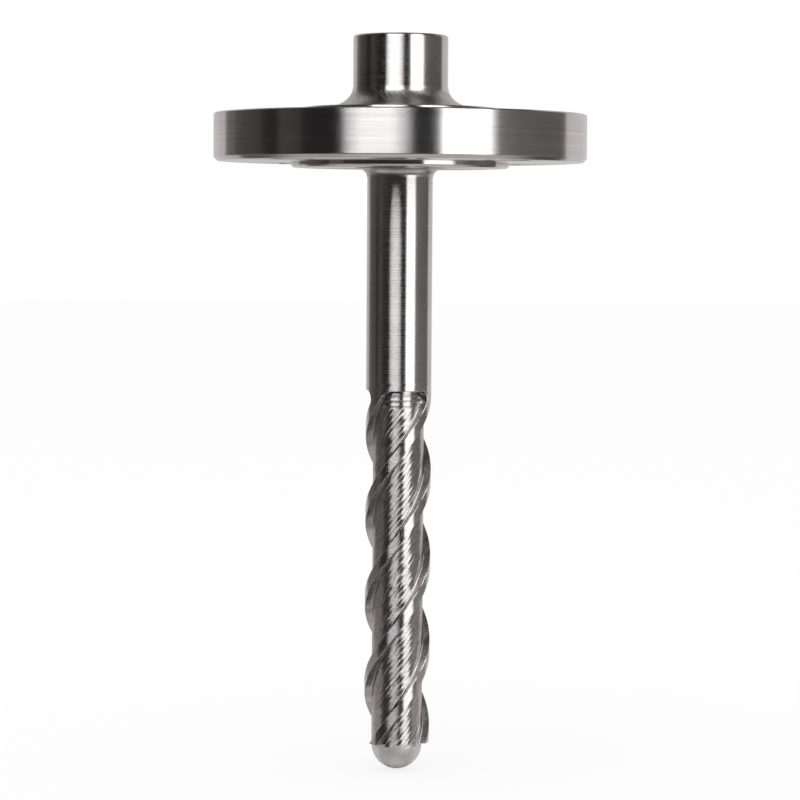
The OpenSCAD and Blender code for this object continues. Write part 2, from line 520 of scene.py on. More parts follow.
class Dressing:
    """A material under construction: one Principled shader and the nodes that feed it."""

    def __init__(self, name: str) -> None:
        """Start a material.

        Args:
            name: Name of the material.
        """
        self.material = bpy.data.materials.new(name)
        self.material.use_nodes = True
        self.tree = self.material.node_tree
        self.shader = self.tree.nodes["Principled BSDF"]

    def constant(self, **values: object) -> "Dressing":
        """Set plain values on the shader's own sockets; underscores stand for spaces."""
        for key, value in values.items():
            self.shader.inputs[key.replace("_", " ")].default_value = value
        return self

    def axes(self, source: str = "Object") -> tuple[Field, Field, Field]:
        """The surface's coordinates.

        Args:
            source: Object, or UV for the piece's own map.

        Returns:
            The three coordinates.
        """
        coordinates = self.tree.nodes.new("ShaderNodeTexCoord")
        parts = self.tree.nodes.new("ShaderNodeSeparateXYZ")
        self.tree.links.new(coordinates.outputs[source], parts.inputs[0])
        return tuple(Field(self.tree, s) for s in parts.outputs)

    def noise(self, at: Sequence[Field], detail: float = 2.0, rough: float = 0.5) -> Field:
        """Noise at a point given by three numbers, in cells of 1.

        Args:
            at: The three coordinates.
            detail: Number of finer layers.
            rough: Weight of the finer layers.

        Returns:
            The noise, about 0.5.
        """
        joint = self.tree.nodes.new("ShaderNodeCombineXYZ")
        for index, value in enumerate(at):
            self.tree.links.new(value.socket, joint.inputs[index])
        node = self.tree.nodes.new("ShaderNodeTexNoise")
        node.inputs["Scale"].default_value = 1.0
        node.inputs["Detail"].default_value = detail
        node.inputs["Roughness"].default_value = rough
        self.tree.links.new(joint.outputs[0], node.inputs["Vector"])
        return Field(self.tree, node.outputs["Fac"])

    def colour(self, share: Field, dark: Sequence[float], light: Sequence[float]) -> None:
        """Colour the base from dark to light by a share.

        Args:
            share: 0 for the dark colour and 1 for the light one.
            dark: Linear red, green and blue.
            light: Linear red, green and blue.
        """
        node = self.tree.nodes.new("ShaderNodeMix")
        node.data_type = "RGBA"
        sockets = [s for s in node.inputs if s.type == "RGBA"]
        sockets[0].default_value, sockets[1].default_value = (*dark, 1.0), (*light, 1.0)
        factor = next(s for s in node.inputs if s.type == "VALUE" and s.enabled)
        self.tree.links.new(share.socket, factor)
        result = next(s for s in node.outputs if s.type == "RGBA")
        self.tree.links.new(result, self.shader.inputs["Base Color"])

    def rough(self, value: Field) -> None:
        """Feed the roughness."""
        self.tree.links.new(value.socket, self.shader.inputs["Roughness"])

    def bump(self, height: Field, depth: float, strength: float = 1.0) -> None:
        """Feed a bump.

        Args:
            height: Height between 0 and 1.
            depth: What a height of 1 stands for, in metres.
            strength: Share of the bump's effect.
        """
        node = self.tree.nodes.new("ShaderNodeBump")
        node.inputs["Distance"].default_value = depth
        node.inputs["Strength"].default_value = strength
        self.tree.links.new(height.socket, node.inputs["Height"])
        self.tree.links.new(node.outputs[0], self.shader.inputs["Normal"])

    def grain(self, turned: bool) -> None:
        """Give the grain its direction.

        Args:
            turned: True for rings about the Z axis, False for marks along the UV map.
        """
        node = self.tree.nodes.new("ShaderNodeTangent")
        if turned:
            node.direction_type, node.axis = "RADIAL", "Z"
        else:
            node.direction_type, node.uv_map = "UV_MAP", "UVMap"
        self.tree.links.new(node.outputs[0], self.shader.inputs["Tangent"])


STEEL_DARK = (0.52, 0.49, 0.485)
STEEL_LIGHT = (0.66, 0.635, 0.63)


@dataclass(frozen=True)
class TurnedSteel:
    """Stainless steel off the lathe: fine rings that smear reflections along the axis."""

    name: str
    roughness: float = 0.24
    anisotropy: float = 1.0
    ring: float = 0.16 * MM
    ring_depth: float = 0.0006 * MM

    def material(self) -> bpy.types.Material:
        """Build the material."""
        dress = Dressing(self.name).constant(
            Metallic=1.0, Anisotropic=self.anisotropy, Anisotropic_Rotation=0.25)
        x, y, z = dress.axes()
        radius = (x * x + y * y).math("SQRT")
        lines = dress.noise((radius / self.ring, z / self.ring, x * 12.0), detail=2.0, rough=0.6)
        patches = dress.noise((x * 60.0, y * 60.0, z * 90.0), detail=3.0)
        dress.colour((lines * 0.6 + patches * 0.4).smooth(0.3, 0.7), STEEL_DARK, STEEL_LIGHT)
        dress.rough(self.roughness - 0.02 + lines * 0.03 + patches * 0.02)
        dress.bump(lines, self.ring_depth)
        dress.grain(turned=True)
        return dress.material


@dataclass(frozen=True)
class MilledSteel:
    """Stainless steel off the mill: bright streaks along the cutter's path."""

    name: str
    roughness: float = 0.32
    anisotropy: float = 1.0
    streak: float = 0.26 * MM
    streak_depth: float = 0.006 * MM
    dark: tuple[float, float, float] = (0.34, 0.315, 0.31)
    light: tuple[float, float, float] = STEEL_LIGHT

    def material(self) -> bpy.types.Material:
        """Build the material."""
        dress = Dressing(self.name).constant(
            Metallic=1.0, Anisotropic=self.anisotropy, Anisotropic_Rotation=0.25)
        along, across, _ = dress.axes("UV")
        streaks = dress.noise((along / (24 * self.streak), across / self.streak, along * 0.0),
                              detail=3.0, rough=0.6)
        chatter = dress.noise((along / (1.2 * MM), across / (1.6 * MM), along * 0.0), detail=2.0)
        dress.colour((streaks * 0.7 + chatter * 0.3).smooth(0.35, 0.65), self.dark, self.light)
        dress.rough(self.roughness - 0.05 + streaks * 0.08 + chatter * 0.04)
        dress.bump(streaks * 0.7 + chatter * 0.3, self.streak_depth)
        dress.grain(turned=True)
        return dress.material


@dataclass(frozen=True)
class SatinSteel:
    """Stainless steel with an even satin face, as on the rounded tip."""

    name: str
    roughness: float = 0.4
    grit: float = 0.12 * MM

    def material(self) -> bpy.types.Material:
        """Build the material."""
        dress = Dressing(self.name).constant(Metallic=0.4)
        x, y, z = dress.axes()
        grit = dress.noise((x / self.grit, y / self.grit, z / self.grit), detail=3.0)
        cloud = dress.noise((x * 300.0, y * 300.0, z * 300.0), detail=2.0)
        dress.colour((grit * 0.5 + cloud * 0.5).smooth(0.3, 0.7), (0.5, 0.475, 0.46), (0.6, 0.575, 0.56))
        dress.rough(self.roughness - 0.06 + cloud * 0.12)
        dress.bump(grit, 0.004 * MM)
        return dress.material


@dataclass(frozen=True)
class BrushedWeld:
    """A weld dressed by hand: turned smooth at the stem, with an abrasive disc's strokes beyond."""

    name: str
    brushed_from: float
    brushed_to: float
    roughness: float = 0.26
    anisotropy: float = 0.85
    strokes: float = 260.0
    stroke_depth: float = 0.12 * MM

    def material(self) -> bpy.types.Material:
        """Build the material."""
        dress = Dressing(self.name).constant(
            Metallic=1.0, Anisotropic=self.anisotropy, Anisotropic_Rotation=0.25)
        x, y, z = dress.axes()
        turn = x.math("ARCTAN2", y)
        radius = (x * x + y * y).math("SQRT")
        brushed = radius.smooth(self.brushed_from, self.brushed_to)
        sweep = turn + radius * 60.0
        strokes = dress.noise((sweep * (self.strokes / 6.0), radius * 90.0, z * 90.0),
                              detail=4.0, rough=0.65)
        heat = dress.noise((x * 180.0, y * 180.0, z * 180.0), detail=2.0)
        shade = 0.9 - brushed * (0.85 - strokes.smooth(0.38, 0.66) * 0.5 - heat * 0.4)
        dress.colour(shade.clamped(), (0.3, 0.27, 0.26), STEEL_LIGHT)
        dress.rough(self.roughness + brushed * (strokes * 0.12 + heat * 0.06 - 0.05))
        dress.bump(strokes * brushed, self.stroke_depth)
        dress.grain(turned=True)
        return dress.material


# ---------------------------------------------------------------------------------------------
# The stem
# ---------------------------------------------------------------------------------------------


@dataclass
class StemSizes:
    """Sizes that the bar's two pieces share."""

    shank_radius: float = 11.0 * MM
    bore_radius: float = 3.3 * MM
    strake_end: float = -193.9 * MM
    strake_length: float = 119.35 * MM
    cut_above_strakes: float = 2.5 * MM

    @property
    def strake_top(self) -> float:
        """Height of the grooves' upper ends."""
        return self.strake_end + self.strake_length

    @property
    def cut(self) -> float:
        """Height at which the visual model parts the bar in two."""
        return self.strake_top + self.cut_above_strakes


@dataclass
class TurnedBar:
    """The bar above the strakes: shank, head, and the tapped socket for the instrument."""

    sizes: StemSizes
    steel: bpy.types.Material
    head_radius: float = 15.875 * MM
    head_top: float = 44.2 * MM
    head_foot: float = 20.0 * MM
    head_edge: float = 1.0 * MM
    socket_radius: float = 9.15 * MM
    socket_depth: float = 20.0 * MM
    mouth_radius: float = 10.9 * MM
    thread_pitch: float = 1.814 * MM
    thread_depth: float = 1.3 * MM
    thread_length: float = 16.5 * MM
    thread_taper: float = 1 / 32
    drill_half_angle: float = math.radians(59)
    columns: int = 192

    def _outline(self) -> tuple[list[Point], int, int]:
        """The section from the bore up and round to the bore again.

        Returns:
            The points, and the places in them where the socket's wall starts and ends.
        """
        s = self.sizes
        floor = self.head_top - self.socket_depth
        cone = (self.socket_radius - s.bore_radius) / math.tan(self.drill_half_angle)
        mouth = self.head_top - (self.mouth_radius - self.socket_radius)
        inside = rounded([(s.bore_radius, s.cut, 0.0), (s.bore_radius, floor - cone, 0.15 * MM),
                          (self.socket_radius, floor, 0.2 * MM), (self.socket_radius, mouth, 0.0)])
        wall = divided([(self.socket_radius, floor + 0.3 * MM), (self.socket_radius, mouth)], 0.11 * MM)
        start = len(inside) - 1
        outside = rounded([(self.mouth_radius, self.head_top, 0.12 * MM),
                           (self.head_radius, self.head_top, self.head_edge),
                           (self.head_radius, self.head_foot, 0.0),
                           (s.shank_radius, self.head_foot, 0.0),
                           (s.shank_radius, s.cut, 0.0)])
        shank = divided(outside[-2:], 4.0 * MM)
        points = inside[:-1] + wall + outside[:-2] + shank
        return points, start, start + len(wall)

    def build(self) -> bpy.types.Object:
        """Build the bar's upper piece."""
        points, start, end = self._outline()
        section = np.array(points)
        threaded = np.zeros(len(section))
        threaded[start:end] = 1.0
        turns = np.linspace(0, 1, self.columns + 1)
        grid = ring_grid("stem_bar", turns,
                         {"radius": section[:, 0], "height": section[:, 1], "threaded": threaded},
                         {"turn": turns}, closed=True)
        rule = RingRule("threaded socket")
        pitch = rule.size("Thread Pitch", self.thread_pitch)
        depth = rule.size("Thread Depth", self.thread_depth)
        length = rule.size("Thread Length", self.thread_length)
        taper = rule.size("Thread Taper", self.thread_taper)
        top = rule.size("Mouth Height", self.head_top)
        radius, height = rule.carried("radius"), rule.carried("height")
        turn = rule.carried("turn")
        below = top - height
        wave = (height / pitch - turn).math("FRACT")
        tooth = ((wave * 2.0 - 1.0).math("ABSOLUTE") * 1.25 - 0.125).clamped()
        fading = below.smooth(length, length - pitch * 1.5)
        cut = tooth * (depth - below * taper) * fading * rule.carried("threaded")
        rule.place(radius + cut, turn * (2 * math.pi), height)
        rule.finish([(self.steel, None)], 0.001 * MM)
        return outward(rule.apply(grid))


@dataclass
class StrakedEnd:
    """The lower end of the bar: three helical strakes, their milled grooves, and the tip."""

    sizes: StemSizes
    turned: bpy.types.Material
    milled: bpy.types.Material
    # Steel for the groove walls: its darker colours are painted shade for the recessed walls.
    side_milled_painted_shade: bpy.types.Material
    satin: bpy.types.Material
    strakes: int = 3
    lead: float = 86.8 * MM
    first_turn: float = math.radians(102.5)
    core_radius: float = 8.5 * MM
    land_width: float = 3.9 * MM
    root_height: float = 0.5 * MM
    root_reach: float = 0.62 * MM
    wide_corner: float = 5.0 * MM
    narrow_corner: float = 2.9 * MM
    edge_break: float = 0.14 * MM
    wall_lean: float = 0.012 * MM
    passes: int = 11
    pass_columns: tuple[float, ...] = (0.05, 0.22, 0.41, 0.59, 0.78, 0.95)
    end_pass: float = 1.76 * MM
    end_zone: float = 5.6 * MM
    tip_radius: float = 8.45 * MM
    tip_neck: float = 0.849 * MM
    bore_end: float = -194.82 * MM
    bore_point: float = -196.8 * MM
    seed: int = 11

    @property
    def pitch(self) -> float:
        """Distance round the shank from one strake to the next."""
        return 2 * math.pi * self.sizes.shank_radius / self.strakes

    @property
    def climb(self) -> float:
        """Angle of a strake's edge above the level, on the shank's surface."""
        return math.atan(self.lead / (2 * math.pi * self.sizes.shank_radius))

    def _columns(self) -> tuple[np.ndarray, np.ndarray]:
        """Places of the columns.

        Returns:
            For each column, its distance past a strake's centre line, and that strake's number.
        """
        start = self.land_width / 2
        root = self.root_reach / math.sin(self.climb)
        width = self.pitch - 2 * start - 2 * root
        shares = (1 - np.cos(np.radians(np.arange(10, 90, 13.0)))) * (self.root_reach - self.wall_lean)
        steps = np.concatenate([[-self.edge_break, 0.0], self.wall_lean + shares]) / math.sin(self.climb)
        left = np.concatenate([np.linspace(0, start, 5)[:-1], start + steps])
        floor = start + root + width * (np.add.outer(np.arange(self.passes),
                                        np.array((0.0,) + self.pass_columns)).ravel() / self.passes)
        right = self.pitch - np.concatenate([[start + root], (start + steps)[::-1],
                                             np.linspace(0, start, 5)[1:-1][::-1]])
        one = np.concatenate([left, floor, right])
        across = np.concatenate([np.tile(one, self.strakes), [0.0]])
        number = np.concatenate([np.repeat(np.arange(self.strakes), len(one)), [self.strakes]])
        return across, number.astype(float)

    def _rows(self) -> dict[str, np.ndarray]:
        """Numbers of the rows, from the tip up the outside and down the bore.

        Returns:
            Height below the grooves' upper ends, radius off the rule, and share of the rule.
        """
        s = self.sizes
        length = s.strake_length
        tip = np.radians(np.concatenate([np.arange(0, 78, 3.0), np.arange(78, 90.1, 1.0)]))
        tip_z = np.append(-length - self.tip_neck - self.tip_radius * np.cos(tip), -length)
        tip_r = np.append(self.tip_radius * np.sin(tip), self.tip_radius)
        below = np.concatenate([
            np.arange(length, 9.2 * MM, -0.5 * MM), np.arange(9.0 * MM, 1.7 * MM, -0.18 * MM),
            np.array([1.66, 1.4, 1.15, 0.9, 0.68, 0.48, 0.3, 0.16, 0.07, 0.012, 0.0]) * MM])
        above = np.array([0.14, 0.3, 0.6, 1.1, 1.7, 2.5]) * MM
        along = np.concatenate([-below, above])
        inner_z = np.array([s.cut, self.bore_end, self.bore_point]) - s.strake_top
        inner_r = np.array([s.bore_radius, s.bore_radius, 0.0])
        heights = np.concatenate([tip_z, along, inner_z])
        plain = np.concatenate([tip_r, np.full(len(along), s.shank_radius), inner_r])
        ruled = np.concatenate([np.zeros(len(tip_z)), np.ones(len(along)), np.zeros(len(inner_z))])
        tipped = np.concatenate([np.ones(len(tip_z)), np.zeros(len(along) + len(inner_z))])
        inner = np.concatenate([np.zeros(len(tip_z) + len(along)), np.ones(len(inner_z))])
        return {"height": heights, "plain": plain, "ruled": ruled, "tipped": tipped, "inner": inner}

    def _corner_end(self, across: Field, cot: Field, edge: Field, r: Field, lean: float,
                    sin: Field, cos: Field) -> tuple[Field, Field]:
        """How far a rounded corner lowers the groove's upper end.

        Args:
            across: Helical place of the vertex.
            cot: Cotangent of the climb.
            edge: Helical place of the groove's edge.
            r: The corner's radius.
            lean: 1 for the corner after a strake, -1 for the one before the next.
            sin: Sine of the climb.
            cos: Cosine of the climb.

        Returns:
            The end's height under the level top, and the circle's centre in the unrolled plane.
        """
        centre = edge + r / sin * lean - r * cot
        gap = across - centre
        a = cot * cot + 1.0
        b = cot * gap + r
        root = (b * b - a * gap * gap).math("MAXIMUM", 0.0).math("SQRT")
        drop = (root - b) / a
        reach = r * (1.0 - cos * lean) / sin
        inside = ((across - edge) * lean).math("LESS_THAN", reach)
        return drop * inside, centre

    def build(self) -> bpy.types.Object:
        """Build the bar's lower piece."""
        s = self.sizes
        across_values, number_values = self._columns()
        grid = ring_grid("stem_strakes", across_values + number_values * self.pitch, self._rows(),
                         {"across": across_values, "number": number_values}, closed=False)
        rule = RingRule("helical strakes")
        shank = rule.size("Shank Radius", s.shank_radius)
        core = rule.size("Core Radius", self.core_radius)
        lead = rule.size("Lead", self.lead)
        land = rule.size("Land Width", self.land_width)
        pitch = rule.size("Strake Pitch", self.pitch)
        root_height = rule.size("Root Height", self.root_height)
        root_reach = full_reach = rule.size("Root Reach", self.root_reach)
        wide = rule.size("Wide Corner", self.wide_corner)
        narrow = rule.size("Narrow Corner", self.narrow_corner)
        edge_break = rule.size("Edge Break", self.edge_break)
        passes = rule.size("Passes", self.passes)
        end_pass = rule.size("End Pass", self.end_pass)
        end_zone = rule.size("End Zone", self.end_zone)
        top = rule.size("Groove Top", s.strake_top)
        first = rule.size("First Turn", self.first_turn)
        length = rule.size("Straked Length", s.strake_length)
        seed = rule.seed(self.seed)

        across, number = rule.carried("across"), rule.carried("number")
        row, plain = rule.carried("height"), rule.carried("plain")
        ruled, tipped, inner = rule.carried("ruled"), rule.carried("tipped"), rule.carried("inner")

        cot = shank * (2 * math.pi) / lead
        slope = (cot * cot + 1.0).math("SQRT")
        sin, cos = 1.0 * slope.math("POWER", -1.0), cot / slope
        start = land / 2.0
        end = pitch - start

        # The groove's end, lowered by its two rounded corners, and its straight run on the lands
        left_drop, left_centre = self._corner_end(across, cot, start, wide, 1.0, sin, cos)
        right_drop, right_centre = self._corner_end(across, cot, end, narrow, -1.0, sin, cos)
        left_foot, right_foot = wide * (cos - 1.0), narrow * (cos + 1.0) * -1.0
        middle = (across + start - pitch).above(0.0)
        left_land = (across - start).math("LESS_THAN", 0.0)
        share = ((across + start) / land) * left_land + ((across + start - pitch) / land) * middle
        on_land = left_land.math("MAXIMUM", middle)
        land_drop = right_foot + (left_foot - right_foot) * share
        drop = (left_drop + right_drop) * (1.0 - on_land) + land_drop * on_land
        fading = row.smooth(-18.0 * MM, -1.7 * MM) * row.ramp(s.cut_above_strakes, 0.14 * MM)
        y = row + drop * fading * ruled

        # Distance inside the groove's edge, on the shank's surface unrolled
        flat_x = across + y * cot
        from_top = -y
        left_gap, right_gap = (across - start) * sin, (end - across) * sin
        left = self._to_corner(flat_x, y, left_centre, wide, sin, cos, -1.0,
                               left_gap.math("MINIMUM", from_top))
        right = self._to_corner(flat_x, y, right_centre, narrow, sin, cos, 1.0,
                                right_gap.math("MINIMUM", from_top))
        inside = left.math("MINIMUM", right)

        # Section of a groove: broken edge, wall, rounded root and floor
        lean = self.wall_lean
        tight = 0.3 + 0.7 * from_top.smooth(4.3 * MM, 6.8 * MM)
        root_reach, root_height = root_reach * tight, root_height * tight
        bevel = inside.ramp(edge_break * -1.0, 0.0) * edge_break
        wall = inside.ramp(0.0, lean) * (shank - core - root_height - edge_break)
        root = 1.0 - inside.ramp(lean, root_reach)
        hollow = root_height * (1.0 - root * root).math("SQRT")
        section = shank - bevel - wall - hollow

        # Cutter passes: flats along the strakes, and level ones across the groove's upper end
        floor_start = start + full_reach / sin
        pass_width = (pitch - floor_start * 2.0) / passes
        place_in = (across - floor_start) / pass_width
        index = place_in.math("FLOOR")
        name = index + number * 16.0
        swing = (place_in - index - 0.5) * pass_width / shank
        tilt = rule.chance(name, seed, -0.06, 0.06)
        sunk = rule.chance(name + 200.0, seed, -0.012 * MM, 0.012 * MM)
        flat = core * (swing.math("COSINE").math("POWER", -1.0) - 1.0) + core * swing * tilt + sunk
        runs_out = end_zone + rule.chance(name + 400.0, seed, -0.5 * MM, 0.9 * MM)
        helical = from_top.smooth(runs_out, runs_out + 0.5 * MM)
        level = (from_top - 1.3 * MM) / end_pass
        level_swing = level - level.math("FLOOR") - 0.5
        cusp = level_swing * level_swing * (0.7 * MM)
        deeper = across.smooth(pitch * 0.3, pitch * 0.62) * (-0.09 * MM)
        marks = (cusp + deeper).towards(flat, helical) * inside.ramp(full_reach * 0.8, full_reach)

        overrun = (0.2 * MM) + rule.chance(name + 600.0, seed, -0.2 * MM, 0.5 * MM)
        past_end = -row - length
        on_floor = across.above(floor_start) * (pitch - across).above(floor_start)
        tip_marks = flat * (1.0 - past_end.smooth(overrun, overrun + 0.2 * MM)) * on_floor
        dip = past_end.ramp(overrun, overrun + 0.2 * MM) * (1.0 - past_end.ramp(overrun + 0.3 * MM,
                                                                                 overrun + 0.6 * MM))
        radius = (plain + (tip_marks - dip * (0.04 * MM)) * tipped).towards(section + marks, ruled)
        height = top + y
        twist_at = y.towards(s.cut_above_strakes, inner)
        turn = (first + number * (2 * math.pi / self.strakes) + across / shank
                + (twist_at + length) * (2 * math.pi) / lead)
        rule.place(radius, turn, height)
        rule.lay_map(y / sin, across * sin + number * 0.037)
        milled = (inside.above(-0.03 * MM) * ruled).math("MAXIMUM", tipped * on_floor
                                                         * past_end.math("LESS_THAN", overrun))
        satin = tipped * (1.0 - milled)
        # The groove walls take the darker steel, whose colour is painted shade in the recess.
        side = inside.above(-0.03 * MM) * (1.0 - inside.above(full_reach * 0.75)) * ruled
        rule.finish([(self.turned, None), (self.milled, milled), (self.side_milled_painted_shade, side),
                     (self.satin, satin)], 0.001 * MM)
        return outward(rule.apply(grid), sharp=38.0)

    @staticmethod
    def _to_corner(x: Field, y: Field, centre: Field, r: Field, sin: Field, cos: Field,
                   side: float, straight: Field) -> Field:
        """Distance inside a groove's edge near one of its rounded corners.

        Args:
            x: Place round the unrolled shank.
            y: Height over the groove's upper end.
            centre: Place of the corner's centre.
            r: The corner's radius.
            sin: Sine of the climb.
            cos: Cosine of the climb.
            side: -1 for the corner on the left, 1 for the one on the right.
            straight: Distance inside the two straight edges.

        Returns:
            The distance, negative outside the groove.
        """
        px, py = x - centre, y + r
        away = (px * px + py * py).math("SQRT")
        turning = (px * side).above(0.0) * (px * cos + py * sin).above(0.0)
        return straight.towards(r - away, turning)


# ---------------------------------------------------------------------------------------------
# The flange and the welds
# ---------------------------------------------------------------------------------------------


@dataclass
class PipeFlange:
    """Slip-on flange with a serrated raised face, four bolt holes and a low hub."""

    steel: bpy.types.Material
    face_steel: bpy.types.Material
    radius: float = 62.5 * MM
    thickness: float = 15.9 * MM
    rim_bottom_chamfer: float = 1.2 * MM
    rim_top_chamfer: float = 0.4 * MM
    face_radius: float = 36.5 * MM
    face_height: float = 2.0 * MM
    face_chamfer: float = 0.6 * MM
    hub_radius: float = 32.5 * MM
    hub_height: float = 2.1 * MM
    hub_edge: float = 0.6 * MM
    bore_radius: float = 11.1 * MM
    bevel_radius: float = 15.0 * MM
    bevel_depth: float = 3.0 * MM
    hole_circle: float = 49.2 * MM
    hole_radius: float = 7.95 * MM
    hole_chamfer: float = 0.35 * MM
    holes: int = 4
    groove_pitch: float = 0.5 * MM
    groove_depth: float = 0.05 * MM
    sides: int = 256
    hole_sides: int = 64

    @property
    def back(self) -> float:
        """Height of the flange's back."""
        return self.face_height + self.thickness

    def _strip(self, work: bmesh.types.BMesh, outline: Sequence[Point]) -> tuple[list, list]:
        """Turn an open outline into the mesh.

        Args:
            work: The mesh.
            outline: Radius and height of each point.

        Returns:
            The first and the last ring of vertices.
        """
        rings = [[work.verts.new((r * math.cos(a), r * math.sin(a), z))
                  for a in np.linspace(0, 2 * math.pi, self.sides, endpoint=False)]
                 for r, z in outline]
        for low, high in zip(rings, rings[1:]):
            for i in range(self.sides):
                j = (i + 1) % self.sides
                work.faces.new((low[i], low[j], high[j], high[i]))
        return rings[0], rings[-1]

    def _hole(self, work: bmesh.types.BMesh, turn: float) -> tuple[list, list]:
        """Add one bolt hole's wall with its two chamfers.

        Args:
            work: The mesh.
            turn: Place of the hole about the axis.

        Returns:
            The lower and the upper ring of vertices.
        """
        centre = Vector((self.hole_circle * math.cos(turn), self.hole_circle * math.sin(turn), 0))
        wide, c = self.hole_radius + self.hole_chamfer, self.hole_chamfer
        rings = []
        for r, z in ((wide, self.face_height), (self.hole_radius, self.face_height + c),
                     (self.hole_radius, self.back - c), (wide, self.back)):
            rings.append([work.verts.new(centre + Vector((r * math.cos(a), r * math.sin(a), z)))
                          for a in np.linspace(0, 2 * math.pi, self.hole_sides, endpoint=False)])
        for low, high in zip(rings, rings[1:]):
            for i in range(self.hole_sides):
                j = (i + 1) % self.hole_sides
                work.faces.new((low[j], low[i], high[i], high[j]))
        return rings[0], rings[-1]

    @staticmethod
    def _fill(work: bmesh.types.BMesh, rings: Iterable[list]) -> None:
        """Fill the flat face between closed rings of vertices."""
        edges = []
        for ring in rings:
            for a, b in zip(ring, ring[1:] + ring[:1]):
                edges.append(work.edges.get((a, b)) or work.edges.new((a, b)))
        bmesh.ops.triangle_fill(work, edges=edges, use_beauty=True)

    def _serrations(self) -> list[Point]:
        """The raised face from its outer edge in to the weld's bevel."""
        outer = self.face_radius - self.face_chamfer - 0.4 * MM
        count = int((outer - self.bevel_radius) / self.groove_pitch)
        points = []
        for i in range(count):
            r = outer - i * self.groove_pitch
            points += [(r, 0.0), (r - 0.5 * self.groove_pitch, self.groove_depth)]
        return points

    def build(self) -> bpy.types.Object:
        """Build the flange."""
        work = bmesh.new()
        low, high = self.rim_bottom_chamfer, self.rim_top_chamfer
        rim = rounded([(self.radius - low - 1.0 * MM, self.face_height, 0.0),
                       (self.radius - low, self.face_height, 0.4 * MM),
                       (self.radius, self.face_height + low, 0.5 * MM),
                       (self.radius, self.back - high, 0.12 * MM),
                       (self.radius - high, self.back, 0.12 * MM),
                       (self.radius - high - 1.0 * MM, self.back, 0.0)])
        rim_low, rim_high = self._strip(work, rim)
        hub = rounded([(self.hub_radius + 1.0 * MM, self.back, 0.0),
                       (self.hub_radius, self.back, 0.4 * MM),
                       (self.hub_radius, self.back + self.hub_height, self.hub_edge),
                       (self.bore_radius, self.back + self.hub_height, 0.1 * MM),
                       (self.bore_radius, self.bevel_depth, 0.0)])
        edge = self.face_chamfer
        face = [(self.bevel_radius, 0.0)] + self._serrations()[::-1] + rounded([
            (self.face_radius - edge - 0.3 * MM, 0.0, 0.0),
            (self.face_radius - edge, 0.0, 0.15 * MM),
            (self.face_radius, edge, 0.15 * MM),
            (self.face_radius, self.face_height, 0.2 * MM),
            (self.face_radius + 1.0 * MM, self.face_height, 0.0)])
        inner_high, inner_low = self._strip(work, hub + face)
        below, above = [rim_low, inner_low], [rim_high, inner_high]
        for i in range(self.holes):
            ring_low, ring_high = self._hole(work, (i + 0.5) * 2 * math.pi / self.holes)
            below.append(ring_low)
            above.append(ring_high)
        self._fill(work, below)
        self._fill(work, above)
        bmesh.ops.remove_doubles(work, verts=work.verts, dist=0.0005 * MM)
        mesh = bpy.data.meshes.new("flange_body")
        work.to_mesh(mesh)
        work.free()
        obj = place("flange_body", mesh)
        mesh.materials.append(self.steel)
        mesh.materials.append(self.face_steel)
        for face in mesh.polygons:
            if abs(face.center.xy.length - self.face_radius) < 0.1 * MM:
                face.material_index = 1
        return outward(obj, sharp=28.0)


@dataclass
class DressedWeld:
    """A fillet weld ground smooth, hollow between the two parts that it joins."""

    name: str
    steel: bpy.types.Material
    wall: float
    width: float
    height: float
    seat: float
    up: bool
    root: tuple[Point, ...] = ()
    toe: float = 0.15 * MM
    steps: int = 18
    sides: int = 256

    def build(self) -> bpy.types.Object:
        """Build the weld."""
        sign = 1.0 if self.up else -1.0
        arc = []
        for k in range(self.steps + 1):
            a = math.pi + math.pi / 2 * k / self.steps
            arc.append((self.wall + self.width + (self.width - self.toe) * math.cos(a),
                        self.height + (self.height - self.toe) * math.sin(a)))
        section = [(self.wall, self.height), *arc, (self.wall + self.width, 0.0), *self.root]
        if not self.root:
            section.append((self.wall, 0.0))
        points = [(r, self.seat + sign * z) for r, z in section]
        obj = turned(self.name, points, self.sides)
        obj.data.materials.append(self.steel)
        return outward(obj, sharp=40.0)


# ---------------------------------------------------------------------------------------------
# The studio
# ---------------------------------------------------------------------------------------------


Rule = tuple[tuple[float, float], ...]
SIDE_GROUND: Rule = ((-90, 1.0), (-60, 0.5), (-40, 0.2), (-20, 0.14), (-12, 0.12), (-8, 0.03), (-2, 0.0))


def glow(obj: bpy.types.Object, level: np.ndarray, tint: Sequence[float]) -> bpy.types.Object:
    """Let a mesh shine, seen only in the reflections of what is glossy.

    Args:
        obj: The mesh's object.
        level: Brightness of each vertex.
        tint: Linear red, green and blue.

    Returns:
        The same object.
    """
    _carry(obj.data, "level", level.ravel())
    material = bpy.data.materials.new(obj.name)
    material.use_nodes = True
    material.cycles.emission_sampling = "NONE"
    tree = material.node_tree
    tree.nodes.clear()
    source = tree.nodes.new("ShaderNodeAttribute")
    source.attribute_name = "level"
    light = tree.nodes.new("ShaderNodeEmission")
    light.inputs["Color"].default_value = (*tint, 1.0)
    tree.links.new(source.outputs["Fac"], light.inputs["Strength"])
    out = tree.nodes.new("ShaderNodeOutputMaterial")
    tree.links.new(light.outputs[0], out.inputs["Surface"])
    obj.data.materials.append(material)
    obj.visible_camera = obj.visible_diffuse = obj.visible_shadow = False
    return obj


